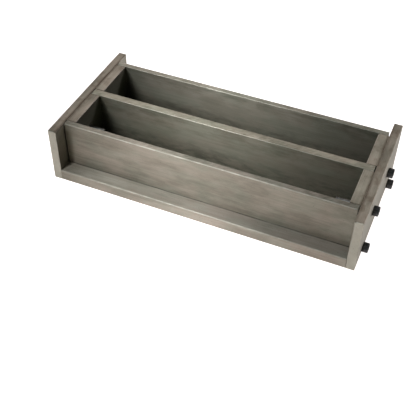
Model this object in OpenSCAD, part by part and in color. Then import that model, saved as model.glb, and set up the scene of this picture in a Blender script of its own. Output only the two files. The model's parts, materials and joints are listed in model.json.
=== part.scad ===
// Two-compartment prism mould of ground steel plate for concrete and mortar specimens.
// X runs along the prisms, Y from front to rear and Z up. The origin is on the floor,
// under the middle of the mould. Right is +X and front is -Y.

/* [Prism] */
// Length of the cast prism, between the end blocks
prism_l = 285; // [160:1:400]
// Width of the cast prism
prism_w = 50; // [40:1:100]
// Height of the cast prism
prism_h = 50; // [30:1:100]

/* [Base plate] */
// Thickness of the base plate
base_t = 12.5; // [11:0.5:25]
// Width of the clamping ledge in front of and behind the walls
ledge_w = 16; // [8:0.5:40]
// Depth of the grooves that the walls stand in
groove_depth = 2; // [1:0.25:4]
// Chamfer along the long edges of the base plate
base_chamfer = 0.8; // [0.2:0.1:1.5]

/* [Walls] */
// Thickness of the front and rear walls
side_wall_t = 6.5; // [6:0.5:16]
// Thickness of the centre wall
centre_wall_t = 8.5; // [6:0.5:20]
// Chamfer on the outer top edges of the front and rear walls
wall_chamfer = 0.8; // [0.2:0.1:1.5]
// Chamfer on the top edges that the prisms touch
wall_edge_break = 0.3; // [0.1:0.1:0.6]
// Gap between a wall's end and the end plate
wall_end_gap = 1.2; // [0.2:0.1:2]

/* [End plates and end blocks] */
// Thickness of the end plates
end_plate_t = 9; // [6:0.5:20]
// Chamfer round the edges of the end plates
end_plate_chamfer = 0.6; // [0.2:0.1:1.5]
// Thickness of the end blocks
end_block_t = 10.5; // [8:0.5:20]
// Chamfer on the top edges of the end blocks
end_block_chamfer = 0.4; // [0.1:0.1:1]

/* [Gauge studs] */
// Diameter of a gauge stud
stud_d = 6.35; // [6.3:0.05:12]
// Length of stud that stands in the prism
stud_projection = 17.5; // [10:0.5:30]
// Depth of the stud's seat in the end block
stud_seat = 3; // [2:0.25:5]
// Number of anchoring grooves round the stud
stud_grooves = 3; // [1:1:4]
// Width of one anchoring groove
stud_groove_w = 1.2; // [0.5:0.1:1.5]
// Depth of the anchoring grooves
stud_groove_depth = 0.5; // [0.2:0.1:1]

/* [End screws] */
// Thread diameter of the screws in the end plates
screw_d = 6; // [4:0.5:6]
// Diameter of their heads
head_d = 10; // [8:0.5:10.5]
// Height of their heads
head_h = 6; // [4:0.5:10]
// Distance across the flats of the hexagon socket
socket_af = 5; // [2.5:0.5:6]
// Depth of the hexagon socket
socket_depth = 3; // [2:0.25:3.5]
// Number of knurls round a head
knurl_teeth = 36; // [24:1:48]
// Depth of the knurls
knurl_depth = 0.2; // [0.1:0.05:0.4]
// Length of thread that a base screw has in the base plate
base_screw_grip = 16; // [8:1:30]
// Distance of a base screw from the end plate's edge
base_screw_edge = 28; // [12:0.5:50]

/* [Wall screws] */
// Thread diameter of the screws under the walls
wall_screw_d = 4; // [3:0.5:4.5]
// Diameter of their heads
wall_head_d = 7; // [6:0.5:8]
// Height of their heads
wall_head_h = 4; // [2:0.5:5]
// Distance across the flats of their sockets
wall_socket_af = 3; // [2:0.5:3.5]
// Depth of their sockets
wall_socket_depth = 2; // [1:0.25:2.5]
// Length of thread that a wall screw has in the wall
wall_screw_grip = 10; // [6:1:20]
// Number of screws under each wall
wall_screw_count = 4; // [2:1:6]

/* [Clearances] */
// Radial clearance of a screw in a plain hole
hole_clearance = 0.3; // [0.2:0.05:0.6]
// Radial clearance of a screw in its thread
thread_clearance = 0.05; // [0.02:0.01:0.1]
// Clearance of an end block to the walls and the base plate
block_clearance = 0.1; // [0.05:0.05:0.3]
// Clearance of a wall to each side of its groove
groove_clearance = 0.05; // [0.02:0.01:0.2]
// Radial clearance of a stud in its seat
stud_clearance = 0.05; // [0.02:0.01:0.1]
// Depth of a counterbore below its screw head
head_recess = 0.5; // [0.2:0.1:1]
// Length of a tapped hole past the screw's tip
tap_runout = 3; // [1:0.5:5]
// Gap between a block screw's tip and the stud
tip_gap = 0.5; // [0.3:0.1:1]

/* [Hidden] */
$fn = 64;

// Signs that place a piece
left = -1;
right = 1;
front = -1;
centre = 0;
rear = 1;

// Main places along X, Y and Z
block_face_x = prism_l / 2;
plate_face_x = block_face_x + end_block_t;
end_x = plate_face_x + end_plate_t;
prism_y = (centre_wall_t + prism_w) / 2;
side_wall_y = centre_wall_t / 2 + prism_w + side_wall_t / 2;
edge_y = side_wall_y + side_wall_t / 2 + ledge_w;
top_z = base_t + prism_h;
prism_z = base_t + prism_h / 2;
groove_z = base_t - groove_depth;

// Lengths of the screws under their heads
block_screw_l = end_plate_t + end_block_t - stud_seat - tip_gap;
base_screw_l = end_plate_t + base_screw_grip;
wall_counterbore = wall_head_h + head_recess;
wall_screw_l = groove_z - wall_counterbore + wall_screw_grip;

// Places of the base screws and wall screws
base_screw_y = edge_y - base_screw_edge;
base_screw_z = base_t / 2;
screw_web = 3;
wall_screw_x = plate_face_x - base_screw_grip - tap_runout
    - wall_head_d / 2 - head_recess - screw_web;

// Small chamfers on turned pieces
head_chamfer = 0.6;
point_chamfer = 0.8;
stud_chamfer = 0.5;
// Length by which a cut runs past a face
past = 1;

steel = [0.53, 0.51, 0.47];
plate_steel = [0.50, 0.47, 0.43];
block_steel = [0.49, 0.46, 0.42];
stainless = [0.78, 0.78, 0.77];
black_oxide = [0.10, 0.10, 0.11];

function wall_t(row) = row == centre ? centre_wall_t : side_wall_t;
function wall_y(row) = row * side_wall_y;
function outer_chamfer(row) = row == centre ? wall_edge_break : wall_chamfer;

// Extrudes a profile drawn in Y and Z along X, about the middle
module along_x(length) {
    rotate([90, 0, 90])
        linear_extrude(height = length, center = true)
            children();
}

// Extrudes a profile drawn in X and Z along Y, about the middle
module along_y(length) {
    rotate([90, 0, 0])
        linear_extrude(height = length, center = true)
            children();
}

// Rectangle about the origin with all four corners chamfered
module chamfered_rectangle(w, h, c) {
    polygon([
        [-w / 2 + c, -h / 2], [w / 2 - c, -h / 2],
        [w / 2, -h / 2 + c], [w / 2, h / 2 - c],
        [w / 2 - c, h / 2], [-w / 2 + c, h / 2],
        [-w / 2, h / 2 - c], [-w / 2, -h / 2 + c]
    ]);
}

// Rectangle standing on the origin with chamfers low_c and high_c at its top corners
module topped_rectangle(w, h, low_c, high_c) {
    polygon([
        [-w / 2, 0], [w / 2, 0],
        [w / 2, h - high_c], [w / 2 - high_c, h],
        [-w / 2 + low_c, h], [-w / 2, h - low_c]
    ]);
}

// Box about the origin with all twelve edges chamfered
module chamfered_box(size, c) {
    intersection() {
        along_x(size[0]) chamfered_rectangle(size[1], size[2], c);
        along_y(size[1]) chamfered_rectangle(size[0], size[2], c);
        linear_extrude(height = size[2], center = true)
            chamfered_rectangle(size[0], size[1], c);
    }
}

// Mirrors its children, drawn for the right end, to the left end
module at_end(side) {
    mirror([side == left ? 1 : 0, 0, 0])
        children();
}

// Outline of a knurled cylinder
module knurl_outline(d, teeth, depth) {
    polygon([
        for (i = [0 : 2 * teeth - 1])
            let (r = d / 2 - (i % 2) * depth)
                [r * cos(i * 180 / teeth), r * sin(i * 180 / teeth)]
    ]);
}

// Turned solid whose top edge, at radius r and height h, has a chamfer c
module turned_top(r, h, c) {
    rotate_extrude()
        polygon([[0, 0], [r + past, 0], [r + past, h - c - past], [r - c, h], [0, h]]);
}

module knurled_head(d, h) {
    intersection() {
        linear_extrude(height = h)
            knurl_outline(d, knurl_teeth, knurl_depth);
        turned_top(d / 2, h, head_chamfer);
    }
}

module plain_head(d, h) {
    rotate_extrude()
        polygon([[0, 0], [d / 2, 0], [d / 2, h - head_chamfer], [d / 2 - head_chamfer, h], [0, h]]);
}

// Screw along Z: head from z = 0 up, thread down to z = -length
module cap_screw(d, length, d_head, h_head, af, deep, knurled) {
    difference() {
        union() {
            if (knurled) knurled_head(d_head, h_head);
            else plain_head(d_head, h_head);
            rotate_extrude()
                polygon([
                    [0, past], [d / 2, past], [d / 2, -length + point_chamfer],
                    [d / 2 - point_chamfer, -length], [0, -length]
                ]);
        }
        translate([0, 0, h_head - deep])
            cylinder(d = af / cos(30), h = deep + past, $fn = 6);
    }
}

// Screw driven into the right end plate, pointing to -X
module end_screw(length) {
    translate([end_x, 0, 0])
        rotate([0, 90, 0])
            cap_screw(screw_d, length, head_d, head_h, socket_af, socket_depth, true);
}

// Hole along -X from the plane x, for a screw of the end plates
module end_hole(x, length, radial) {
    translate([x + past, 0, 0])
        rotate([0, -90, 0])
            cylinder(r = screw_d / 2 + radial, h = length + past);
}

// Places its children at each screw under a wall
module at_wall_screws(row) {
    pitch = 2 * wall_screw_x / (wall_screw_count - 1);
    for (i = [0 : wall_screw_count - 1])
        translate([-wall_screw_x + i * pitch, wall_y(row), 0])
            children();
}

module base_plate() {
    length = 2 * plate_face_x;
    color(steel)
        difference() {
            translate([0, 0, base_t / 2])
                along_x(length) chamfered_rectangle(2 * edge_y, base_t, base_chamfer);
            for (row = [front, centre, rear]) {
                translate([0, wall_y(row), groove_z + (groove_depth + past) / 2])
                    cube([
                        length + 2 * past,
                        wall_t(row) + 2 * groove_clearance,
                        groove_depth + past
                    ], center = true);
                at_wall_screws(row) {
                    translate([0, 0, -past])
                        cylinder(r = wall_head_d / 2 + head_recess, h = wall_counterbore + past);
                    cylinder(r = wall_screw_d / 2 + hole_clearance, h = base_t);
                }
            }
            for (side = [left, right], row = [front, rear])
                at_end(side)
                    translate([0, row * base_screw_y, base_screw_z])
                        end_hole(plate_face_x, base_screw_grip + tap_runout, thread_clearance);
        }
}

module end_plate(side) {
    color(plate_steel)
        at_end(side)
            difference() {
                translate([plate_face_x + end_plate_t / 2, 0, top_z / 2])
                    chamfered_box([end_plate_t, 2 * edge_y, top_z], end_plate_chamfer);
                for (row = [front, rear]) {
                    translate([0, row * base_screw_y, base_screw_z])
                        end_hole(end_x, end_plate_t + past, hole_clearance);
                    translate([0, row * prism_y, prism_z])
                        end_hole(end_x, end_plate_t + past, hole_clearance);
                }
            }
}

module wall(row) {
    color(steel)
        difference() {
            translate([0, wall_y(row), groove_z])
                along_x(2 * (plate_face_x - wall_end_gap))
                    topped_rectangle(
                        wall_t(row),
                        top_z - groove_z,
                        row == front ? outer_chamfer(row) : wall_edge_break,
                        row == rear ? outer_chamfer(row) : wall_edge_break
                    );
            at_wall_screws(row)
                translate([0, 0, groove_z - past])
                    cylinder(
                        r = wall_screw_d / 2 + thread_clearance,
                        h = wall_screw_grip + tap_runout + past
                    );
        }
}

module end_block(side, row) {
    color(block_steel)
        at_end(side)
            translate([0, row * prism_y, 0])
                difference() {
                    translate([block_face_x + end_block_t / 2, 0, base_t + block_clearance])
                        along_y(prism_w - 2 * block_clearance)
                            topped_rectangle(
                                end_block_t,
                                prism_h - block_clearance,
                                end_block_chamfer,
                                end_block_chamfer
                            );
                    translate([0, 0, prism_z])
                        end_hole(plate_face_x, end_block_t + past, thread_clearance);
                    translate([block_face_x - past, 0, prism_z])
                        rotate([0, 90, 0])
                            cylinder(r = stud_d / 2 + stud_clearance, h = stud_seat + past);
                }
}

// Half profile of a gauge stud, from its seated end at z = 0
function stud_profile(r, length) = concat(
    [[0, 0], [r - stud_chamfer, 0], [r, stud_chamfer]],
    [
        for (i = [0 : stud_grooves - 1])
            let (z = length - stud_chamfer - stud_groove_w * (2 * (stud_grooves - i)))
                each [
                    [r, z], [r - stud_groove_depth, z],
                    [r - stud_groove_depth, z + stud_groove_w], [r, z + stud_groove_w]
                ]
    ],
    [[r, length - stud_chamfer], [r - stud_chamfer, length], [0, length]]
);

module gauge_stud(side, row) {
    color(stainless)
        at_end(side)
            translate([block_face_x + stud_seat, row * prism_y, prism_z])
                rotate([0, -90, 0])
                    rotate_extrude()
                        polygon(stud_profile(stud_d / 2, stud_projection + stud_seat));
}

module block_screw(side, row) {
    color(black_oxide)
        at_end(side)
            translate([0, row * prism_y, prism_z])
                end_screw(block_screw_l);
}

module base_screw(side, row) {
    color(black_oxide)
        at_end(side)
            translate([0, row * base_screw_y, base_screw_z])
                end_screw(base_screw_l);
}

module wall_screws(row) {
    color(black_oxide)
        at_wall_screws(row)
            translate([0, 0, wall_counterbore])
                mirror([0, 0, 1])
                    cap_screw(
                        wall_screw_d, wall_screw_l, wall_head_d, wall_head_h,
                        wall_socket_af, wall_socket_depth, false
                    );
}

base_plate();
end_plate(left);  // left_end_plate
end_plate(right);  // right_end_plate
wall(front);  // front_wall
wall(centre);  // centre_wall
wall(rear);  // rear_wall
end_block(left, front);  // left_front_end_block
end_block(left, rear);  // left_rear_end_block
end_block(right, front);  // right_front_end_block
end_block(right, rear);  // right_rear_end_block
gauge_stud(left, front);  // left_front_gauge_stud
gauge_stud(left, rear);  // left_rear_gauge_stud
gauge_stud(right, front);  // right_front_gauge_stud
gauge_stud(right, rear);  // right_rear_gauge_stud
block_screw(left, front);  // left_front_block_screw
block_screw(left, rear);  // left_rear_block_screw
block_screw(right, front);  // right_front_block_screw
block_screw(right, rear);  // right_rear_block_screw
base_screw(left, front);  // left_front_base_screw
base_screw(left, rear);  // left_rear_base_screw
base_screw(right, front);  // right_front_base_screw
base_screw(right, rear);  // right_rear_base_screw
wall_screws(front);  // front_wall_screws
wall_screws(centre);  // centre_wall_screws
wall_screws(rear);  // rear_wall_screws
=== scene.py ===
"""Finish of a two-compartment prism mould of ground steel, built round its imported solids."""
import json
import math

import bpy
from bpy.props import FloatProperty, FloatVectorProperty, IntProperty, PointerProperty
from mathutils import Euler, Matrix, Vector


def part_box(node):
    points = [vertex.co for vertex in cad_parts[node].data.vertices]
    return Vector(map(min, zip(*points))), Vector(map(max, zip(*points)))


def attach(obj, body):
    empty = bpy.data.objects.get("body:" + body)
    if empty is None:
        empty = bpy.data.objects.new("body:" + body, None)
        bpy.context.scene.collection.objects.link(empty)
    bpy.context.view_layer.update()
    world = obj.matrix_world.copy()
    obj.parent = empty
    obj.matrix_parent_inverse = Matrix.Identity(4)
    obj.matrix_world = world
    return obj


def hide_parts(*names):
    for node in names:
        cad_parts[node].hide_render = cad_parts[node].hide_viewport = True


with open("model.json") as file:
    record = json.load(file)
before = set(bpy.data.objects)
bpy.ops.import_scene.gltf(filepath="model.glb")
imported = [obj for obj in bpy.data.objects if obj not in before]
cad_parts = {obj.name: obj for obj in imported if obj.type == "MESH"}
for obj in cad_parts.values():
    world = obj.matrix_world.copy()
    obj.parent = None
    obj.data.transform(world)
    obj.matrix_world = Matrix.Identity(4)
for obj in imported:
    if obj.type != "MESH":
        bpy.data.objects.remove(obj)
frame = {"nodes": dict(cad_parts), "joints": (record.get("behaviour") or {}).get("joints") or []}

bl_info = {
    "name": "Prism Mould",
    "version": (1, 0, 0),
    "blender": (4, 5, 0),
    "location": "3D View > Sidebar > Prism Mould",
    "description": "Ground steel, threaded screws and gauge studs for a prism mould",
    "category": "Object",
}

MM = 0.001
X, Y, Z = range(3)
ENDS = {"left": -1, "right": 1}
ROWS = ("front", "rear")
WALLS = ("front", "centre", "rear")
# Each lamp's title, bearing from the front and height in degrees, size, brightness and colour
LAMPS = {
    "key": ("Front", (25, 42), (0.38, 1.0), 10.0, (0.93, 0.98, 1.0)),
    "back": ("Back", (168, 42), (2.2, 0.9), 1.85, (1.0, 0.94, 0.95)),
    "top": ("Top", (30, 75), (2.0, 0.8), 1.45, (0.82, 0.94, 1.0)),
    "side": ("Side", (-115, 42), (0.9, 0.9), 0.3, (0.78, 0.93, 1.0)),
    "right": ("Right", (-40, 25), (0.9, 0.9), 0.8, (0.90, 1.0, 0.85)),
}


class Wire:
    """An output in a node tree. Sums of wires and numbers add Math nodes to the tree."""

    def __init__(self, tree, socket):
        self.tree, self.socket = tree, socket

    def math(self, operation, *others, clamp=False):
        """The result of a Math node on this wire and the others."""
        node = self.tree.nodes.new("ShaderNodeMath")
        node.operation = operation
        node.use_clamp = clamp
        for slot, value in zip(node.inputs, (self, *others)):
            feed(self.tree, slot, value)
        return Wire(self.tree, node.outputs[0])

    def __add__(self, other):
        return self.math("ADD", other)

    def __sub__(self, other):
        return self.math("SUBTRACT", other)

    def __mul__(self, other):
        return self.math("MULTIPLY", other)

    def __truediv__(self, other):
        return self.math("DIVIDE", other)

    def __mod__(self, other):
        return self.math("FLOORED_MODULO", other)

    def __rsub__(self, other):
        return number(self.tree, other).math("SUBTRACT", self)

    __radd__ = __add__

    def least(self, other):
        """The smaller of the two."""
        return self.math("MINIMUM", other)

    def most(self, other):
        """The larger of the two."""
        return self.math("MAXIMUM", other)

    def size(self):
        """The number without its sign."""
        return self.math("ABSOLUTE")

    def clamped(self):
        """The number held between 0 and 1."""
        return self.math("ADD", 0.0, clamp=True)


def feed(tree, socket, value):
    """Links a socket to a wire, or sets it to a plain value."""
    if isinstance(value, Wire):
        tree.links.new(value.socket, socket)
    else:
        socket.default_value = value


def add(tree, kind, inputs=(), **settings):
    """Adds a node with its settings and inputs, and returns its first output."""
    node = tree.nodes.new(kind)
    for name, value in settings.items():
        setattr(node, name, value)
    for name, value in dict(inputs).items():
        feed(tree, node.inputs[name], value)
    return Wire(tree, node.outputs[0])


def number(tree, value):
    """A plain number as a wire."""
    return add(tree, "ShaderNodeMath", {0: value, 1: 0.0}, operation="ADD")


def parts_of(vector):
    """The X, Y and Z of a vector."""
    split = vector.tree.nodes.new("ShaderNodeSeparateXYZ")
    feed(vector.tree, split.inputs[0], vector)
    return [Wire(vector.tree, out) for out in split.outputs]


# Materials: one function for each finish

# Detail and roughness of each pattern's noise, and the levels at which it is none and full
STAIN_NOISE, MOTTLE_NOISE = (3, 0.5, 0.36, 0.64), (4, 0.65, 0.34, 0.66)
STREAK_NOISE, STROKE_NOISE = (4, 0.6, 0.36, 0.64), (2, 0.5, 0.34, 0.66)
WARM_NOISE, RUST_NOISE = (3, 0.5, 0.40, 0.60), (4, 0.6, 0.5, 0.66)
PIT_NOISE, WEAR_NOISE = (2, 0.5, 0.66, 0.76), (3, 0.6, 0.4, 0.6)
FILM_NOISE, SPECK_NOISE, DULL_NOISE = (3, 0.6, 0.35, 0.65), (2, 0.5, 0.62, 0.78), (3, 0.6, 0.35, 0.7)
# Detail and roughness of the grind lines and of the turning marks, and the levels of the lines
LINE_NOISE, MARK_NOISE, LINE_LEVELS = (2, 0.5), (3, 0.6), (0.35, 0.65)
# How much longer than wide the spots of a pattern are
STAIN_STRETCH, MOTTLE_STRETCH, RUST_STRETCH = 2, 3, 1.6
# How a shift moves the patterns along X, Y and Z
SHIFT_SHARES = (1.0, 0.7, 0.4)
# How far each pattern makes the steel lighter or darker, and on the faces with slanted strokes
STAIN_TONE, STREAK_TONE, LINE_TONE = 0.28, 0.15, 0.18
CROSS_STROKE_TONE, CROSS_STAIN_TONE, CROSS_MOTTLE_TONE = 0.45, 0.3, 0.45
# How squarely a face has to look along an axis, or upwards, to count as facing that way
SQUARE_LEVELS, UPWARD_LEVELS = (0.7, 0.95), (0.3, 0.6)
# The product of two parts of a rounded edge's normal, from nearly flat to fully slanted
SLANT_LEVELS = (0.12, 0.42)
# The height above the floor at which grime and painted shade begin, so that the underside stays clean
DIRT_AND_SHADE_HEIGHT = (0.5 * MM, 2 * MM)
# Darkening in a pit and in a seam, which is grime in pits and joints and painted shade at the foot of
# the walls, what mottle adds there, and how much of a seam's width is full of it
PIT_DIRT, SEAM_DIRT_AND_SHADE, SEAM_MOTTLE, SEAM_CORE = 0.45, 0.25, 0.5, 0.1
# How far grime spreads from the middle of a compartment's floor, in widths of the compartment
CHANNEL_DIRT = 0.75
# How near the side faces come to their side colour, painted light on the end plates and painted shade
# on the blocks
SIDE_SHARE = 0.7
# The wear of the least worn stretch of edge
LEAST_WEAR = 0.5
# What the patterns add to the roughness and to the relief of the steel
STAIN_ROUGHNESS, LINE_ROUGHNESS, DIRT_ROUGHNESS = -0.04, 0.06, 0.12
LINE_RELIEF, STREAK_RELIEF, MOTTLE_RELIEF, DIRT_RELIEF = 0.6, 0.25, 0.15, -0.5
# The turn of the highlights, and the share of the other axes in the direction of the grind lines
HIGHLIGHT_TURN, LINE_SPREAD = 0.25, 0.02


def new_material(name):
    """A new material, its tree and its shader."""
    material = bpy.data.materials.new(name)
    material.use_nodes = True
    tree = material.node_tree
    return material, tree, tree.nodes["Principled BSDF"]


def coordinate(tree, output):
    """One of the coordinates of a point on the piece."""
    return Wire(tree, tree.nodes.new("ShaderNodeTexCoord").outputs[output])


def grain(tree, place, size, detail, roughness, turn=(0, 0, 0), shift=(0, 0, 0)):
    """Noise from 0 to 1 whose spots have the given size in metres along X, Y and Z."""
    placed = add(tree, "ShaderNodeMapping", {
        "Vector": place, "Location": shift, "Rotation": turn, "Scale": size,
    }, vector_type="TEXTURE")
    return add(tree, "ShaderNodeTexNoise", {
        "Vector": placed, "Scale": 1.0, "Detail": detail, "Roughness": roughness,
    })


def ramp(wire, low, high, to_low=0.0, to_high=1.0):
    """Maps a range smoothly to another one."""
    return add(wire.tree, "ShaderNodeMapRange", {
        "Value": wire, "From Min": low, "From Max": high, "To Min": to_low, "To Max": to_high,
    }, interpolation_type="SMOOTHSTEP")


def spots(tree, place, size, noise, turn=(0, 0, 0), shift=(0, 0, 0)):
    """The spots of a noise, from 0 for none to 1 for full."""
    detail, roughness, *levels = noise
    return ramp(grain(tree, place, size, detail, roughness, turn, shift), *levels)


def mixed(tree, share, first, second, blend="MIX"):
    """The first colour with a share of the second."""
    node = tree.nodes.new("ShaderNodeMix")
    node.data_type, node.blend_type = "RGBA", blend
    for slot, value in zip((node.inputs[0], node.inputs[6], node.inputs[7]), (share, first, second)):
        feed(tree, slot, value)
    return Wire(tree, node.outputs[2])


def rgba(colour):
    """The colour with a full alpha."""
    return (*colour, 1.0)


def along(axis, length, width):
    """Size of a streak that runs along one axis."""
    return tuple(length if i == axis else width for i in (X, Y, Z))


def swing(wire, amount):
    """The wire's swing about a half, made larger or smaller."""
    return (wire - 0.5) * amount


def relief(tree, surface, strength, depth, height):
    """Gives a surface fine relief from a height between 0 and 1."""
    feed(tree, surface.inputs["Normal"], add(tree, "ShaderNodeBump", {
        "Strength": strength, "Distance": depth, "Height": height,
    }))


class SteelFace:
    """A point on a steel piece: its place, the way it faces, and the patterns at that place."""

    def __init__(self, tree, axis, shift):
        self.tree, self.axis = tree, axis
        self.moved = [shift * share for share in SHIFT_SHARES]
        self.place = coordinate(tree, "Object")
        self.along = parts_of(self.place)
        self.facing = [part.size() for part in parts_of(coordinate(tree, "Normal"))]

    def pattern(self, noise, length, width, turn=(0, 0, 0)):
        """Spots that are longest along the piece's axis, from 0 for none to 1 for full."""
        return spots(self.tree, self.place, along(self.axis, length, width), noise, turn, self.moved)

    def squarely(self, axis):
        """How squarely the face looks along an axis, either way."""
        return ramp(self.facing[axis], *SQUARE_LEVELS)


def ground_tone(face, look, patterns, clouds, cross_axis):
    """How light the steel is, from 0 to 1, with slanted strokes on faces square to cross_axis."""
    stains, mottle, streaks, lines = patterns
    tone = (swing(stains, STAIN_TONE) + swing(mottle, clouds) + swing(streaks, STREAK_TONE)
            + swing(ramp(lines, *LINE_LEVELS), LINE_TONE) + 0.5)
    if cross_axis is None:
        return tone.clamped()
    slant = [look.stroke_angle if axis == cross_axis else 0.0 for axis in (X, Y, Z)]
    strokes = face.pattern(STROKE_NOISE, look.stroke_length, look.stroke_width, slant)
    cross_tone = (swing(strokes, CROSS_STROKE_TONE) + swing(stains, CROSS_STAIN_TONE)
                  + swing(mottle, CROSS_MOTTLE_TONE) + 0.5)
    return (tone + (cross_tone - tone) * face.squarely(cross_axis)).clamped()


def tinted_steel(face, look, tone, painted_light_tint):
    """The colour of clean steel of that tone, with brownish and greenish stains, made lighter by
    tinting that stands in for light.
    """
    dark, light = (rgba([c * t for c, t in zip(steel, painted_light_tint)])
                   for steel in (look.dark_steel, look.light_steel))
    size = along(face.axis, look.warm_size * STAIN_STRETCH, look.warm_size)
    warm = spots(face.tree, face.place, size, WARM_NOISE, shift=look.warm_shift)
    hue = mixed(face.tree, warm, rgba(look.cool_tint), rgba(look.warm_tint))
    return mixed(face.tree, 1.0, mixed(face.tree, tone, dark, light), hue, "MULTIPLY")


def gathered_dirt_and_shade(face, look, seams, open_to_dirt_and_shade, mottle):
    """The grime in pits and seams, the painted shade in the seams at the foot of the walls, and how
    well a seam shelters the steel from wear.
    """
    dirt_and_shade = face.pattern(PIT_NOISE, look.pit_size, look.pit_size) * PIT_DIRT
    sheltered = number(face.tree, 0.0)
    for axis, distance, width in seams:
        off = (face.along[axis].size() - distance).size()
        near = ramp(off, width * SEAM_CORE, width, 1.0, 0.0) * open_to_dirt_and_shade
        dirt_and_shade = dirt_and_shade.most(near * (SEAM_DIRT_AND_SHADE + mottle * SEAM_MOTTLE))
        sheltered = sheltered.most(near)
    return dirt_and_shade, sheltered


def worn_and_highlit_edges(face, look):
    """How pale the rounded edges are, from wear and from a painted highlight."""
    x, y, z = face.facing
    rounded = (x * y).most(y * z).most(x * z)
    worn = face.pattern(WEAR_NOISE, look.wear_size, look.wear_size)
    worn = worn * (1.0 - LEAST_WEAR) + LEAST_WEAR
    return ramp(rounded, *SLANT_LEVELS) * worn * look.edge_wear_and_highlight


def ground_steel(name, axis, cross_axis=None, side_axes=(), side_colour=None, painted_light_tint=(1.0, 1.0, 1.0),
                 polish=0.0, shift=0.0, clouds=0.13, rust=0.0, seams=()):
    """Surface-ground steel: grind lines along an axis, stains, and edges worn pale with a painted
    highlight.
    Faces square to cross_axis have slanted grind strokes instead. Faces square to one of side_axes
    are more even and near to the side colour, painted light on the end plates and painted shade on the
    blocks, and grime lies only on the upward faces of such a piece. Tinting lightens the steel as
    painted light. Clouds and rust say how strongly those stains show. Each seam is an axis, a distance
    from the middle and the width of its darkening, grime at joints, corners and compartment floors and
    painted shade at the foot of the walls, in which the edges stay dull."""
    look = bpy.context.scene.prism_mould.steel
    material, tree, surface = new_material(name)
    face = SteelFace(tree, axis, shift)
    stains = face.pattern(STAIN_NOISE, look.stain_size * STAIN_STRETCH, look.stain_size)
    mottle = face.pattern(MOTTLE_NOISE, look.mottle_size * MOTTLE_STRETCH, look.mottle_size)
    streaks = face.pattern(STREAK_NOISE, look.streak_length, look.streak_width)
    lines = grain(tree, face.place, along(axis, look.line_length, look.line_width), *LINE_NOISE)
    tone = ground_tone(face, look, (stains, mottle, streaks, lines), clouds, cross_axis)
    colour = tinted_steel(face, look, tone, painted_light_tint)
    # Painted light and shade: faces square to a side axis take the side colour, lighter on the end
    # plates and darker on the blocks.
    for side_axis in side_axes:
        colour = mixed(tree, face.squarely(side_axis) * SIDE_SHARE, colour, rgba(side_colour))

    open_to_dirt_and_shade = ramp(face.along[Z], *DIRT_AND_SHADE_HEIGHT)
    if side_axes:
        open_to_dirt_and_shade = open_to_dirt_and_shade * ramp(face.facing[Z], *UPWARD_LEVELS)
    rusty = face.pattern(RUST_NOISE, look.rust_size * RUST_STRETCH, look.rust_size)
    colour = mixed(tree, rusty * rust * open_to_dirt_and_shade, colour, rgba(look.rust_colour))
    # Painted shade: here the seams at the foot of the walls and low on the compartments' walls darken
    # the steel as shade; pits and the other seams darken it with grime.
    dirt_and_shade, sheltered = gathered_dirt_and_shade(face, look, seams, open_to_dirt_and_shade, mottle)
    colour = mixed(tree, dirt_and_shade, colour, rgba(look.rust_colour if rust else look.dirt_and_shade_colour))
    # Painted highlight: rounded edges turn pale, partly real wear and partly a painted highlight where
    # the edges catch the light; seams keep them dull.
    bright = worn_and_highlit_edges(face, look) * (1.0 - sheltered)

    feed(tree, surface.inputs["Base Color"], mixed(tree, bright, colour, rgba(look.edge_wear_and_highlight_colour)))
    feed(tree, surface.inputs["Roughness"],
         look.roughness - polish + swing(stains, STAIN_ROUGHNESS) + swing(lines, LINE_ROUGHNESS)
         + dirt_and_shade * DIRT_ROUGHNESS)
    surface.inputs["Metallic"].default_value = look.metal
    surface.inputs["Anisotropic"].default_value = look.anisotropy
    surface.inputs["Anisotropic Rotation"].default_value = HIGHLIGHT_TURN
    direction = dict(enumerate(along(axis, 1.0, LINE_SPREAD)))
    feed(tree, surface.inputs["Tangent"], add(tree, "ShaderNodeCombineXYZ", direction))
    relief(tree, surface, look.bump, look.line_depth,
           lines * LINE_RELIEF + streaks * STREAK_RELIEF + mottle * MOTTLE_RELIEF + dirt_and_shade * DIRT_RELIEF)
    return material


def black_oxide():
    """Black oxide on the screws, thin in places and with specks of bare steel."""
    look = bpy.context.scene.prism_mould.screws
    material, tree, surface = new_material("black_oxide")
    place = coordinate(tree, "Object")
    film = spots(tree, place, (look.film_size,) * 3, FILM_NOISE)
    speck = spots(tree, place, (look.speck_size,) * 3, SPECK_NOISE)
    colour = mixed(tree, film, rgba(look.oxide_dark), rgba(look.oxide_light))
    colour = mixed(tree, speck * look.specks, colour, rgba(look.speck_colour))
    feed(tree, surface.inputs["Base Color"], colour)
    feed(tree, surface.inputs["Roughness"], look.roughness + film * look.film_roughness)
    surface.inputs["Metallic"].default_value = look.metal
    relief(tree, surface, look.film_relief, look.film_depth, film)
    return material


def turned_stainless():
    """Bright stainless bar with fine turning marks round its axis, which lies along X."""
    look = bpy.context.scene.prism_mould.studs
    material, tree, surface = new_material("turned_stainless")
    place = coordinate(tree, "Object")
    marks = grain(tree, place, along(X, look.mark_width, look.mark_length), *MARK_NOISE)
    dull = spots(tree, place, (look.dull_size,) * 3, DULL_NOISE)
    colour = mixed(tree, dull, rgba(look.stainless), rgba(look.dull_stainless))
    feed(tree, surface.inputs["Base Color"], colour)
    feed(tree, surface.inputs["Roughness"],
         look.roughness + marks * look.mark_roughness + dull * look.dull_roughness)
    surface.inputs["Metallic"].default_value = 1.0
    relief(tree, surface, look.mark_relief, look.mark_depth, marks)
    return material


# Geometry nodes: turned pieces drawn as a grid that is wrapped round the Z axis

SCREW_TREE = "Socket Head Screws"
# Points of a made piece and of a packed one that are nearer than this are the same point
SAME_PLACE, WELD_DISTANCE = 0.002 * MM, 0.001 * MM
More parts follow.
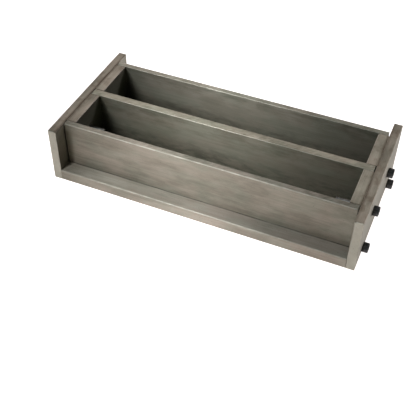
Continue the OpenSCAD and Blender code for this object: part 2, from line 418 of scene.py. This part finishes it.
# Edges turned by more than this stay sharp on a made piece and are rounded on a packed one
SHARP_ANGLE, BEVEL_ANGLE = math.radians(35), math.radians(25)
# In head diameters the head's chamfer, and in socket widths the socket's rim and coned bottom
HEAD_CHAMFER, SOCKET_RIM, SOCKET_CONE = 0.06, 0.05, 0.15
# In chamfers: points of a head's lower and upper edge, in from its side and from its end face,
# and how far from its top the knurls end
LOWER_EDGE = ((0.3, 0.4), (0.0, 0.9))
UPPER_EDGE = ((0.45, 0.6), (0.8, 0.2), (1.3, 0.0))
KNURL_END = 1.3
# Grid rows in each turn of a thread
THREAD_STEPS = 8
# In pitches: the thread's depth, the plain neck under the head and the stretch where it fades in
THREAD_DEPTH, PLAIN_NECK, NECK_FADE = 0.58, 0.6, 1.2
# How fast a thread falls from its crest to its root, and how much of that fall its flat crest takes
FLANK_SLOPE, CREST_FLAT = 1.5, 0.25
# Points round a stud, the length between its rows, and how far from its tip the dome begins
STUD_COLUMNS, STUD_STEP, TIP_POINT = 48, 0.1 * MM, 0.001 * MM
# How steep the sides of a stud's grooves are
GROOVE_STEEPNESS = 24.0


def new_geometry_tree(name, inputs):
    """A geometry node tree with named inputs, given as (name, kind, default)."""
    tree = bpy.data.node_groups.new(name, "GeometryNodeTree")
    for title, kind, default in inputs:
        socket = tree.interface.new_socket(name=title, in_out="INPUT", socket_type=kind)
        if default is not None:
            socket.default_value = default
    tree.interface.new_socket(name="Geometry", in_out="OUTPUT", socket_type="NodeSocketGeometry")
    entry = tree.nodes.new("NodeGroupInput")
    return tree, {out.name: Wire(tree, out) for out in entry.outputs if out.name}


def grid_shares(tree):
    """The share of the way round and the share of the way along at each point of a grid."""
    x, y, _ = parts_of(add(tree, "GeometryNodeInputPosition"))
    return x + 0.5, y + 0.5


def wrapped_grid(tree, columns, rows, share, radius, height):
    """A grid whose columns go once round Z, by their share of the way, at a radius and a height."""
    grid = add(tree, "GeometryNodeMeshGrid", {
        "Size X": 1.0, "Size Y": 1.0, "Vertices X": columns + 1, "Vertices Y": rows + 1,
    })
    angle = share * (2 * math.pi)
    position = add(tree, "ShaderNodeCombineXYZ", {
        0: radius * angle.math("COSINE"), 1: radius * angle.math("SINE"), 2: height,
    })
    return add(tree, "GeometryNodeSetPosition", {"Geometry": grid, "Position": position})


def picked(tree, index, choices):
    """The choice at that index."""
    node = tree.nodes.new("GeometryNodeIndexSwitch")
    node.data_type = "FLOAT"
    while len(node.index_switch_items) < len(choices):
        node.index_switch_items.new()
    feed(tree, node.inputs["Index"], index)
    for slot, value in zip(node.inputs[1:], choices):
        feed(tree, slot, value)
    return Wire(tree, node.outputs[0])


def join(tree, *meshes):
    """One mesh of several."""
    node = tree.nodes.new("GeometryNodeJoinGeometry")
    for mesh in meshes:
        tree.links.new(mesh.socket, node.inputs[0])
    return Wire(tree, node.outputs[0])


def merged(tree, mesh):
    """The mesh with points at the same place made one, which closes its seam and its poles."""
    return add(tree, "GeometryNodeMergeByDistance", {"Geometry": mesh, "Distance": SAME_PLACE})


def close_tree(tree, mesh, material):
    """Realizes the instances, merges the seams and sets the material."""
    real = add(tree, "GeometryNodeRealizeInstances", {"Geometry": mesh})
    done = add(tree, "GeometryNodeSetMaterial", {"Geometry": merged(tree, real), "Material": material})
    exit_node = tree.nodes.new("NodeGroupOutput")
    tree.links.new(done.socket, exit_node.inputs[0])


def screw_head(tree, given, columns):
    """A knurled head with a hexagon socket, up from z = 0."""
    u, v = grid_shares(tree)
    outer, top = given["Head Diameter"] / 2, given["Head Height"]
    chamfer, rim = given["Head Diameter"] * HEAD_CHAMFER, given["Socket Width"] * SOCKET_RIM
    knurled = outer - given["Knurl Depth"] * ((u * columns).math("ROUND") % 2.0)
    sixth = math.pi / 3
    off_flat = (u * (2 * math.pi) + sixth / 2) % sixth - sixth / 2
    hexagon = given["Socket Width"] / 2 / off_flat.math("COSINE")
    deep = top - given["Socket Depth"]
    profile = (
        (given["Thread Diameter"] / 2, 0.0), (outer - chamfer, 0.0),
        *((knurled - chamfer * inwards, chamfer * up) for inwards, up in LOWER_EDGE),
        (knurled, top - chamfer * KNURL_END),
        *((outer - chamfer * inwards, top - chamfer * down) for inwards, down in UPPER_EDGE),
        (hexagon + rim, top), (hexagon, top - rim),
        (hexagon, deep), (0.0, deep - given["Socket Width"] * SOCKET_CONE),
    )
    last = len(profile) - 1
    row = (v * last).math("ROUND")
    radius, height = (picked(tree, row, [point[i] for point in profile]) for i in (0, 1))
    return wrapped_grid(tree, columns, last, u, radius, height)


def screw_thread(tree, given, columns):
    """A right-hand thread, down from z = 0 to a coned end."""
    u, v = grid_shares(tree)
    outer, pitch, length = given["Thread Diameter"] / 2, given["Pitch"], given["Length"]
    turns = ((length + outer) / pitch).math("CEIL") + 1.0
    down = (v * turns - u) * pitch
    from_crest = ((v * turns) % 1.0 * 2.0 - 1.0).size()
    groove = (from_crest * FLANK_SLOPE - CREST_FLAT).clamped()
    started = ((down / pitch - PLAIN_NECK) / NECK_FADE).clamped()
    depth = pitch * THREAD_DEPTH
    radius = (outer - depth * groove * started).least(outer - depth + (length - down))
    sides = wrapped_grid(tree, columns, turns * THREAD_STEPS, u, radius.most(0.0),
                         down.most(0.0).least(length) * -1.0)
    return add(tree, "GeometryNodeFlipFaces", {"Mesh": sides})


def screw_tree():
    """A row along X of socket-head screws: heads up from z = 0, right-hand threads below it."""
    tree, given = new_geometry_tree(SCREW_TREE, (
        ("Thread Diameter", "NodeSocketFloat", 6 * MM), ("Pitch", "NodeSocketFloat", MM),
        ("Length", "NodeSocketFloat", 16 * MM), ("Head Diameter", "NodeSocketFloat", 10 * MM),
        ("Head Height", "NodeSocketFloat", 6 * MM), ("Socket Width", "NodeSocketFloat", 5 * MM),
        ("Socket Depth", "NodeSocketFloat", 3 * MM), ("Knurls", "NodeSocketInt", 36),
        ("Knurl Depth", "NodeSocketFloat", 0.2 * MM), ("Count", "NodeSocketInt", 1),
        ("Spacing", "NodeSocketFloat", 0.0), ("Material", "NodeSocketMaterial", None),
    ))
    columns = given["Knurls"] * 2
    screw = join(tree, screw_head(tree, given, columns), screw_thread(tree, given, columns))
    points = add(tree, "GeometryNodeMeshLine", {
        "Count": given["Count"], "Offset": add(tree, "ShaderNodeCombineXYZ", {0: given["Spacing"]}),
    })
    row = add(tree, "GeometryNodeInstanceOnPoints", {
        "Points": points, "Instance": merged(tree, screw),
    })
    close_tree(tree, row, given["Material"])
    return tree


def stud_tree():
    """A gauge stud along Z: domed measuring end at z = 0, anchoring grooves at the other end."""
    tree, given = new_geometry_tree("Gauge Stud", (
        ("Diameter", "NodeSocketFloat", 6.35 * MM), ("Length", "NodeSocketFloat", 20.5 * MM),
        ("Dome Radius", "NodeSocketFloat", 5 * MM), ("Grooves", "NodeSocketFloat", 3.0),
        ("Groove Width", "NodeSocketFloat", 1.2 * MM), ("Groove Depth", "NodeSocketFloat", 0.5 * MM),
        ("Chamfer", "NodeSocketFloat", 0.5 * MM), ("Material", "NodeSocketMaterial", None),
    ))
    u, v = grid_shares(tree)
    full, length, dome = given["Diameter"] / 2, given["Length"], given["Dome Radius"]
    rows = ((length + full) / STUD_STEP).math("CEIL")
    from_tip = v * rows * STUD_STEP
    from_end = (length - given["Chamfer"] - from_tip) / given["Groove Width"]
    off_groove = ((from_end / 2) % 1.0 - 0.75).size()
    inside = (0.25 - off_groove) * GROOVE_STEEPNESS + 0.5
    grooved = inside.clamped() * from_end.math("LESS_THAN", given["Grooves"] * 2)
    grooved = grooved * from_end.math("GREATER_THAN", 0.0)
    sunk = (from_tip - TIP_POINT).most(0.0).least(dome)
    cap = (sunk * (dome * 2 - sunk)).most(0.0).math("SQRT")
    radius = (full - given["Groove Depth"] * grooved).least(cap)
    radius = radius.least(full - given["Chamfer"] + (length - from_tip)).most(0.0)
    stud = wrapped_grid(tree, STUD_COLUMNS, rows, u, radius, from_tip.least(length))
    close_tree(tree, stud, given["Material"])
    return tree


def in_scene(name, data):
    """A new object with this data, linked to the scene."""
    thing = bpy.data.objects.new(name, data)
    bpy.context.scene.collection.objects.link(thing)
    return thing


def solid_from(tree, name, values, matrix):
    """Evaluates a geometry tree with these inputs into a plain mesh, put in place by matrix."""
    maker = in_scene("maker", bpy.data.meshes.new("maker"))
    modifier = maker.modifiers.new("Shape", "NODES")
    modifier.node_group = tree
    sockets = {s.name: s.identifier for s in tree.interface.items_tree if s.in_out == "INPUT"}
    for title, value in values.items():
        modifier[sockets[title]] = value
    graph = bpy.context.evaluated_depsgraph_get()
    mesh = bpy.data.meshes.new_from_object(maker.evaluated_get(graph))
    bpy.data.objects.remove(maker)
    mesh.name = name
    mesh.transform(matrix)
    mesh.polygons.foreach_set("use_smooth", [True] * len(mesh.polygons))
    mesh.set_sharp_from_angle(angle=SHARP_ANGLE)
    return in_scene(name, mesh)


def stand_for(piece, node, body):
    """The piece rides on the body and stands for the node, which it hides."""
    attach(piece, body)
    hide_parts(node)


def screw_kit():
    """The screws' tree and finish, made the first time that they are asked for."""
    tree = bpy.data.node_groups.get(SCREW_TREE) or screw_tree()
    return tree, bpy.data.materials.get("black_oxide") or black_oxide()


def joint_named(name):
    """The record's joint of that name."""
    return next(joint for joint in frame["joints"] if joint["name"] == name)


def facing(direction, place):
    """Matrix that puts the Z axis along a direction at a place, without mirroring."""
    turn = Vector((0, 0, 1)).rotation_difference(Vector(direction))
    return Matrix.Translation(place) @ turn.to_matrix().to_4x4()


def middle_of(low, high):
    """The middle of a box."""
    return (low + high) / 2


# Settings

def colour_setting(name, description, default):
    """A setting that holds a colour."""
    return FloatVectorProperty(name=name, description=description, subtype="COLOR",
                               default=default, min=0, max=1)


def length_setting(name, description, default):
    """A setting that holds a length in metres."""
    return FloatProperty(name=name, description=description, unit="LENGTH", default=default)


def share_setting(name, description, default):
    """A setting between 0 and 1."""
    return FloatProperty(name=name, description=description, subtype="FACTOR", default=default,
                         min=0, max=1)


def count_setting(name, description, default, least):
    """A setting that holds a number of things."""
    return IntProperty(name=name, description=description, default=default, min=least)


class SteelSettings(bpy.types.PropertyGroup):
    """The finish of the plates, walls and blocks"""
    light_steel: colour_setting(
        "Light Steel", "Colour of the cleanest ground steel", (0.39, 0.362, 0.312))
    dark_steel: colour_setting(
        "Dark Steel", "Colour of the most stained steel", (0.178, 0.168, 0.136))
    warm_tint: colour_setting("Warm Tint", "Tint of the brownish stains", (0.995, 0.948, 0.908))
    cool_tint: colour_setting("Cool Tint", "Tint of the greenish stains", (0.96, 0.968, 0.92))
    warm_size: length_setting("Tint Size", "Width of a brownish or greenish stain", 17.6 * MM)
    warm_shift: FloatVectorProperty(
        name="Tint Place", description="Moves the brownish and greenish stains over the pieces",
        subtype="TRANSLATION", default=(0.31, 0.17, 0.23))
    # Pale colour of the rounded edges: real wear together with a painted highlight.
    edge_wear_and_highlight_colour: colour_setting(
        "Edge", "Colour of steel that is worn bright at the edges", (0.60, 0.56, 0.48))
    # Painted shade: this colour darkens the foot of the walls and the lower part of the compartments'
    # walls as shade, and colours pits and grime as well.
    dirt_and_shade_colour: colour_setting(
        "Dirt", "Colour of pits and of old oil in the seams", (0.062, 0.061, 0.042))
    rust_colour: colour_setting("Rust", "Colour of the rusty blotches", (0.15, 0.115, 0.08))
    # Painted light: a paler colour on the end plates' upright faces, standing in for light that the
    # lamps do not give them.
    lit_face_colour: colour_setting(
        "Fresh Steel", "Colour of the end plates' clean upright faces", (0.42, 0.40, 0.34))
    # Painted shade: a dark colour on the blocks' upright faces, which stand in shade deep in the
    # compartments.
    shaded_face_colour: colour_setting(
        "Cast Faces", "Colour of the block faces that the concrete has touched", (0.12, 0.125, 0.10))
    # How strongly the rounded edges show wear and the painted highlight.
    edge_wear_and_highlight: share_setting("Edge Wear", "How bright the edges are worn", 0.9)
    roughness: share_setting("Roughness", "Roughness of the ground faces", 0.5)
    metal: share_setting("Metallic", "Share of metal in the surface", 0.95)
    anisotropy: share_setting("Anisotropy", "Spread of highlights across the grind lines", 1.0)
    bump: share_setting("Bump", "Strength of the grind lines' relief", 0.5)
    stain_size: length_setting("Stain Size", "Width of a stain", 22 * MM)
    mottle_size: length_setting("Mottle Size", "Size of the fine cloudy spots", 7 * MM)
    rust_size: length_setting("Rust Size", "Size of a rusty blotch", 9 * MM)
    wear_size: length_setting("Wear Size", "Length of a worn stretch of edge", 12 * MM)
    streak_length: length_setting("Streak Length", "Length of a streak", 160 * MM)
    streak_width: length_setting("Streak Width", "Width of a streak", 3 * MM)
    line_length: length_setting("Line Length", "Length of a grind line", 30 * MM)
    line_width: length_setting("Line Width", "Width of a grind line", 0.3 * MM)
    line_depth: length_setting("Line Depth", "Depth of a grind line", 0.04 * MM)
    stroke_angle: FloatProperty(
        name="Stroke Angle", description="Slant of the grind strokes on the narrow faces",
        subtype="ANGLE", default=math.radians(38))
    stroke_length: length_setting("Stroke Length", "Length of a slanted stroke", 6 * MM)
    stroke_width: length_setting("Stroke Width", "Width of a slanted stroke", 0.6 * MM)
    pit_size: length_setting("Pit Size", "Size of the small dark pits", 1.1 * MM)
    # Painted shade: this width also sets the thin band of shade painted at the foot of each wall,
    # besides the grime at the blocks' corners.
    seam_dirt_and_shade_width: length_setting("Seam Width", "How far dirt spreads from the foot of a wall", 1.4 * MM)
    joint_width: length_setting(
        "Joint Width", "How far dirt spreads from an end plate's joint", 3 * MM)
    edge_radius: length_setting("Edge Radius", "Rounding of every edge", 0.2 * MM)
    plate_edge_radius: length_setting(
        "End Plate Edge Radius", "Rounding of the end plates' knocked edges", 0.4 * MM)


class ScrewSettings(bpy.types.PropertyGroup):
    """The finish and the sizes of the screws"""
    oxide_dark: colour_setting("Dark Oxide", "Colour of the black oxide", (0.026, 0.026, 0.027))
    oxide_light: colour_setting("Light Oxide", "Colour of thin black oxide", (0.070, 0.070, 0.072))
    roughness: share_setting("Roughness", "Roughness of the black oxide", 0.36)
    film_roughness: share_setting(
        "Thin Oxide Roughness", "What thin oxide adds to the roughness", 0.14)
    metal: share_setting("Metallic", "Share of metal in the surface", 0.55)
    film_relief: share_setting("Oxide Relief", "Strength of the relief of the thin places", 0.4)
    film_size: length_setting("Oxide Patches", "Size of the thin places in the oxide", 1.6 * MM)
    film_depth: length_setting("Oxide Depth", "Depth of the thin places in the oxide", 0.03 * MM)
    specks: share_setting("Specks", "How strongly the specks of bare steel show", 0.35)
    speck_size: length_setting("Speck Size", "Size of the specks of bare steel", 0.4 * MM)
    speck_colour: colour_setting(
        "Speck Colour", "Colour of the specks of bare steel", (0.16, 0.15, 0.14))
    thread: length_setting("End Screw Thread", "Thread diameter of the end screws", 6 * MM)
    pitch: length_setting("End Screw Pitch", "Pitch of the end screws", MM)
    socket_width: length_setting("End Screw Socket", "Width across the flats of the socket", 5 * MM)
    socket_depth: length_setting("End Screw Socket Depth", "Depth of the socket", 3 * MM)
    knurls: count_setting("End Screw Knurls", "Knurls round a head", 36, 6)
    knurl_depth: length_setting("End Screw Knurl Depth", "Depth of a knurl", 0.2 * MM)
    wall_thread: length_setting("Wall Screw Thread", "Thread diameter of the wall screws", 4 * MM)
    wall_pitch: length_setting("Wall Screw Pitch", "Pitch of the wall screws", 0.7 * MM)
    wall_socket_width: length_setting(
        "Wall Screw Socket", "Width across the flats of the socket", 3 * MM)
    wall_socket_depth: length_setting("Wall Screw Socket Depth", "Depth of the socket", 2 * MM)
    wall_knurls: count_setting("Wall Screw Knurls", "Knurls round a head", 24, 6)
    wall_knurl_depth: length_setting("Wall Screw Knurl Depth", "Depth of a knurl", 0.12 * MM)
    wall_head_height: length_setting("Wall Screw Head", "Height of a wall screw's head", 4 * MM)
    wall_count: count_setting("Wall Screws", "Screws under each wall", 4, 2)


class StudSettings(bpy.types.PropertyGroup):
    """The finish and the dome of the gauge studs"""
    stainless: colour_setting("Stainless", "Colour of the stainless bar", (0.30, 0.29, 0.27))
    dull_stainless: colour_setting(
        "Dull Stainless", "Colour of the dull patches", (0.216, 0.2088, 0.1944))
    roughness: share_setting("Roughness", "Roughness of the bright bar", 0.24)
    mark_roughness: share_setting(
        "Mark Roughness", "What the turning marks add to the roughness", 0.16)
    dull_roughness: share_setting(
        "Dull Roughness", "What the dull patches add to the roughness", 0.08)
    mark_relief: share_setting("Mark Relief", "Strength of the turning marks' relief", 0.5)
    mark_width: length_setting("Mark Width", "Width of a turning mark", 0.18 * MM)
    mark_length: length_setting("Mark Length", "Length of a turning mark", 10 * MM)
    mark_depth: length_setting("Mark Depth", "Depth of a turning mark", 0.02 * MM)
    dull_size: length_setting("Dull Patches", "Size of the dull patches", 3 * MM)
    dome: length_setting("Dome Radius", "Radius of the domed measuring end", 5 * MM)


class StageSettings(bpy.types.PropertyGroup):
    """The camera, the floor and the light"""
    camera_place: FloatVectorProperty(
        name="Camera Place", description="Where the camera stands", subtype="TRANSLATION",
        default=(0.212903, -0.566207, 0.544558))
    camera_turn: FloatVectorProperty(
        name="Camera Turn", description="How the camera is turned", subtype="EULER",
        default=tuple(math.radians(a) for a in (45.681, -0.657, 23.242)))
    lens: FloatProperty(
        name="Lens", description="Focal length of the camera", unit="CAMERA", default=67.386)
    sensor: FloatProperty(
        name="Sensor", description="Width of the camera's sensor", unit="CAMERA", default=36.0)
    floor_size: length_setting("Floor Size", "Side of the square floor", 60.0)
    floor_colour: colour_setting("Floor Colour", "Colour of the floor", (0.60, 0.60, 0.60))
    floor_roughness: share_setting("Floor Roughness", "Roughness of the floor", 0.9)
    floor_shine: share_setting("Floor Shine", "How strongly the floor mirrors", 0.1)
    floor_glow: FloatProperty(
        name="Floor Glow", description="Light that comes up through the floor, as on a light table",
        default=1.17)
    glow_colour: colour_setting(
        "Glow Colour", "Colour of the light from the floor", (1.0, 0.95, 0.94))
    sky: FloatProperty(
        name="Room Light", description="Strength of the even light of the room", default=0.03)
    sky_colour: colour_setting(
        "Room Colour", "Colour of the even light of the room", (0.88, 1.0, 0.78))
    lamp_distance: length_setting("Lamp Distance", "Distance of every soft lamp from the mould", 2.0)


def lamp_settings(title, aim, size, brightness, colour):
    """The settings of one soft lamp with these defaults, by the last word of their names."""
    return {
        "aim": FloatVectorProperty(
            name=f"{title} Lamp Direction", description="Bearing from the front, and height",
            unit="ROTATION", size=2, default=[math.radians(angle) for angle in aim]),
        "size": FloatVectorProperty(
            name=f"{title} Lamp Size", description="Width and height of the lamp", unit="LENGTH",
            size=2, default=size),
        "brightness": FloatProperty(
            name=f"{title} Lamp Brightness", description="Brightness of the lamp's face",
            default=brightness),
        "colour": colour_setting(f"{title} Lamp Colour", "Colour of the lamp's light", colour),
    }


for lamp_name, lamp_defaults in LAMPS.items():
    for last_word, lamp_setting in lamp_settings(*lamp_defaults).items():
        StageSettings.__annotations__[f"{lamp_name}_{last_word}"] = lamp_setting


class MouldSettings(bpy.types.PropertyGroup):
    """All settings of the mould"""
    steel: PointerProperty(type=SteelSettings)
    screws: PointerProperty(type=ScrewSettings)
    studs: PointerProperty(type=StudSettings)
    stage: PointerProperty(type=StageSettings)


# Operators

def add_floor(look):
    """The pale floor, lit from below as a light table is."""
    half = look.floor_size / 2
    mesh = bpy.data.meshes.new("floor")
    mesh.from_pydata([(-half, -half, 0), (half, -half, 0), (half, half, 0), (-half, half, 0)],
                     [], [(0, 1, 2, 3)])
    paint, _, surface = new_material("pale_floor")
    surface.inputs["Base Color"].default_value = rgba(look.floor_colour)
    surface.inputs["Roughness"].default_value = look.floor_roughness
    surface.inputs["Specular IOR Level"].default_value = look.floor_shine
    surface.inputs["Emission Color"].default_value = rgba(look.glow_colour)
    surface.inputs["Emission Strength"].default_value = look.floor_glow
    mesh.materials.append(paint)
    in_scene("floor", mesh)


def add_room(look):
    """The even light of the room."""
    world = bpy.data.worlds.new("room")
    world.use_nodes = True
    background = world.node_tree.nodes["Background"]
    background.inputs["Color"].default_value = rgba(look.sky_colour)
    background.inputs["Strength"].default_value = look.sky
    bpy.context.scene.world = world


def add_lamp(look, name):
    """A soft lamp that faces the mould from its bearing and height."""
    bearing, height = getattr(look, f"{name}_aim")
    direction = Vector((-math.sin(bearing) * math.cos(height),
                        -math.cos(bearing) * math.cos(height), math.sin(height)))
    light = bpy.data.lights.new(name, "AREA")
    light.color = getattr(look, f"{name}_colour")
    light.shape = "RECTANGLE"
    light.size, light.size_y = getattr(look, f"{name}_size")
    light.energy = getattr(look, f"{name}_brightness") * math.pi * light.size * light.size_y
    lamp = in_scene(name, light)
    lamp.location = direction * look.lamp_distance
    lamp.rotation_euler = direction.to_track_quat("Z", "Y").to_euler()


def add_camera(look):
    """The camera, where the photograph was taken from."""
    camera = in_scene("camera", bpy.data.cameras.new("camera"))
    camera.data.lens = look.lens
    camera.data.sensor_width = look.sensor
    camera.data.clip_start = 10 * MM
    camera.location = look.camera_place
    camera.rotation_euler = Euler(look.camera_turn)
    bpy.context.scene.camera = camera


class MOULD_OT_stage(bpy.types.Operator):
    """Add the floor, the light and the camera"""
    bl_idname = "mould.stage"
    bl_label = "Stage"

    def execute(self, context):
        look = context.scene.prism_mould.stage
        add_floor(look)
        add_room(look)
        for name in LAMPS:
            add_lamp(look, name)
        add_camera(look)
        context.scene.view_settings.view_transform = "Standard"
        return {"FINISHED"}


def steel_finishes(look):
    """The steel of each kind of plate, wall and block, by the last words of its nodes' names."""
    floor_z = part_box("base_plate")[1].z
    plate_x = -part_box("left_end_plate")[1].x
    wall_y, outer_y, inner_y = (-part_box(wall)[side].y for wall, side in (
        ("front_wall", 0), ("front_wall", 1), ("centre_wall", 0)))
    middle_y, width = (outer_y + inner_y) / 2, outer_y - inner_y
    # Painted shade: the seams at the foot of each wall and along the ledge darken a thin band there,
    # and the wide seam on the centre and rear walls darkens their lower part, where shade falls. The
    # joint and the corner seams hold grime.
    foot, darkened = (Z, floor_z, look.seam_dirt_and_shade_width), (Z, floor_z, width)
    ledge, channel = (Y, wall_y, look.seam_dirt_and_shade_width), (Y, middle_y, width * CHANNEL_DIRT)
    joint = (X, plate_x, look.joint_width)
    corners = [(Y, y, look.seam_dirt_and_shade_width) for y in (outer_y, inner_y)]
    # Painted light: the tints make the steel of the base plate, the walls and the blocks lighter, most
    # on the base plate and the centre wall, standing in for the light that falls on them, and shift
    # its hue a little.
    return {
        "base_plate": ground_steel(
            "base_steel", X, painted_light_tint=(1.26, 1.20, 1.23), seams=[ledge, channel]),
        "front_wall": ground_steel(
            "front_wall_steel", X, cross_axis=Z, painted_light_tint=(1.03, 1.0, 1.0), shift=0.4, clouds=0.2,
            seams=[foot]),
        "centre_wall": ground_steel(
            "centre_wall_steel", X, cross_axis=Z, painted_light_tint=(1.27, 1.26, 1.22), polish=0.10, shift=1.3,
            clouds=0.42, seams=[foot, darkened]),
        "rear_wall": ground_steel(
            "rear_wall_steel", X, cross_axis=Z, painted_light_tint=(1.06, 1.06, 1.05), polish=0.08, shift=2.6,
            clouds=0.40, seams=[foot, darkened]),
        # Painted light on the end plates' upright faces and painted shade on the blocks' upright
        # faces, through their side colours.
        "end_plate": ground_steel(
            "end_plate_steel", Y, side_axes=(X, Y), side_colour=look.lit_face_colour, shift=0.9,
            clouds=0.25, rust=0.5, seams=[joint]),
        "end_block": ground_steel(
            "block_steel", Y, side_axes=(X,), side_colour=look.shaded_face_colour,
            painted_light_tint=(1.12, 1.14, 1.14), shift=1.7, clouds=0.25, rust=0.4, seams=[joint, *corners]),
    }


def dress(plate, finish, edge_radius):
    """Gives a packed plate, wall or block its finish and rounded edges."""
    plate.data.materials.clear()
    plate.data.materials.append(finish)
    weld = plate.modifiers.new("Weld", "WELD")
    weld.merge_threshold = WELD_DISTANCE
    bevel = plate.modifiers.new("Bevel", "BEVEL")
    bevel.width = edge_radius
    bevel.segments = 2
    bevel.limit_method = "ANGLE"
    bevel.angle_limit = BEVEL_ANGLE
    bevel.harden_normals = True


class MOULD_OT_plates(bpy.types.Operator):
    """Give the base plate, walls, end plates and end blocks their ground steel"""
    bl_idname = "mould.plates"
    bl_label = "Steel Plates"

    def execute(self, context):
        look = context.scene.prism_mould.steel
        for kind, finish in steel_finishes(look).items():
            edge_radius = look.plate_edge_radius if kind == "end_plate" else look.edge_radius
            for node, plate in frame["nodes"].items():
                if node.endswith(kind):
                    dress(plate, finish, edge_radius)
        return {"FINISHED"}


class MOULD_OT_end_screws(bpy.types.Operator):
    """Make the eight knurled socket-head screws of the end plates"""
    bl_idname = "mould.end_screws"
    bl_label = "End Screws"

    def execute(self, context):
        look = context.scene.prism_mould.screws
        tree, oxide = screw_kit()
        for end, side in ENDS.items():
            for row in ROWS:
                for kind in ("block_screw", "base_screw"):
                    node = f"{end}_{row}_{kind}"
                    joint = joint_named(f"{node}_turn")
                    seat = Vector(joint["pos_m"])
                    low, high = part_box(node)
                    outer, inner = (high.x, low.x) if side > 0 else (-low.x, -high.x)
                    piece = solid_from(tree, f"{node}_threaded", {
                        "Thread Diameter": look.thread, "Pitch": look.pitch,
                        "Length": abs(seat.x) - inner, "Head Diameter": high.y - low.y,
                        "Head Height": outer - abs(seat.x), "Socket Width": look.socket_width,
                        "Socket Depth": look.socket_depth, "Knurls": look.knurls,
                        "Knurl Depth": look.knurl_depth, "Material": oxide,
                    }, facing(joint["axis"], seat))
                    stand_for(piece, node, node)
        return {"FINISHED"}


class MOULD_OT_wall_screws(bpy.types.Operator):
    """Make the rows of screws that hold the walls from below"""
    bl_idname = "mould.wall_screws"
    bl_label = "Wall Screws"

    def execute(self, context):
        look = context.scene.prism_mould.screws
        tree, oxide = screw_kit()
        for row in WALLS:
            node = f"{row}_wall_screws"
            low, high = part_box(node)
            head = high.y - low.y
            seat = Vector((-low.x - head / 2, middle_of(low, high).y, low.z + look.wall_head_height))
            piece = solid_from(tree, f"{node}_threaded", {
                "Thread Diameter": look.wall_thread, "Pitch": look.wall_pitch,
                "Length": high.z - seat.z, "Head Diameter": head,
                "Head Height": look.wall_head_height, "Socket Width": look.wall_socket_width,
                "Socket Depth": look.wall_socket_depth, "Knurls": look.wall_knurls,
                "Knurl Depth": look.wall_knurl_depth, "Count": look.wall_count,
                "Spacing": (high.x - low.x - head) / (look.wall_count - 1), "Material": oxide,
            }, Matrix.Translation(seat) @ Matrix.Rotation(math.pi, 4, "Y"))
            stand_for(piece, node, node)
        return {"FINISHED"}


class MOULD_OT_gauge_studs(bpy.types.Operator):
    """Make the four gauge studs"""
    bl_idname = "mould.gauge_studs"
    bl_label = "Gauge Studs"

    def execute(self, context):
        look = context.scene.prism_mould.studs
        tree, stainless = stud_tree(), turned_stainless()
        for end, side in ENDS.items():
            for row in ROWS:
                node = f"{end}_{row}_gauge_stud"
                low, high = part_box(node)
                seat = middle_of(low, high)
                seat.x = high.x if side > 0 else low.x
                piece = solid_from(tree, f"{node}_turned", {
                    "Diameter": high.z - low.z, "Length": high.x - low.x,
                    "Dome Radius": look.dome, "Material": stainless,
                }, facing((-side, 0, 0), seat))
                stand_for(piece, node, node)
        return {"FINISHED"}


class MOULD_PT_panel(bpy.types.Panel):
    """Lists the pieces of the mould and their settings"""
    bl_label = "Prism Mould"
    bl_idname = "MOULD_PT_panel"
    bl_space_type = "VIEW_3D"
    bl_region_type = "UI"
    bl_category = "Prism Mould"

    def draw(self, context):
        settings = context.scene.prism_mould
        for maker, group in ((MOULD_OT_stage, settings.stage), (MOULD_OT_plates, settings.steel),
                             (MOULD_OT_end_screws, settings.screws), (MOULD_OT_wall_screws, None),
                             (MOULD_OT_gauge_studs, settings.studs)):
            box = self.layout.box()
            box.operator(maker.bl_idname)
            for name in group.__annotations__ if group else ():
                box.prop(group, name)


GROUPS = (SteelSettings, ScrewSettings, StudSettings, StageSettings, MouldSettings)
MAKERS = (MOULD_OT_stage, MOULD_OT_plates, MOULD_OT_end_screws, MOULD_OT_wall_screws,
          MOULD_OT_gauge_studs)


def register():
    """Registers the settings, the operators and the panel."""
    for group in (*GROUPS, *MAKERS, MOULD_PT_panel):
        bpy.utils.register_class(group)
    bpy.types.Scene.prism_mould = PointerProperty(type=MouldSettings)


def unregister():
    """Takes back what register did."""
    del bpy.types.Scene.prism_mould
    for group in reversed((*GROUPS, *MAKERS, MOULD_PT_panel)):
        bpy.utils.unregister_class(group)


def main():
    """Makes everything in order."""
    register()
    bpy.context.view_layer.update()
    for make in (bpy.ops.mould.stage, bpy.ops.mould.plates, bpy.ops.mould.end_screws,
                 bpy.ops.mould.wall_screws, bpy.ops.mould.gauge_studs):
        make()


if __name__ == "__main__":
    main()
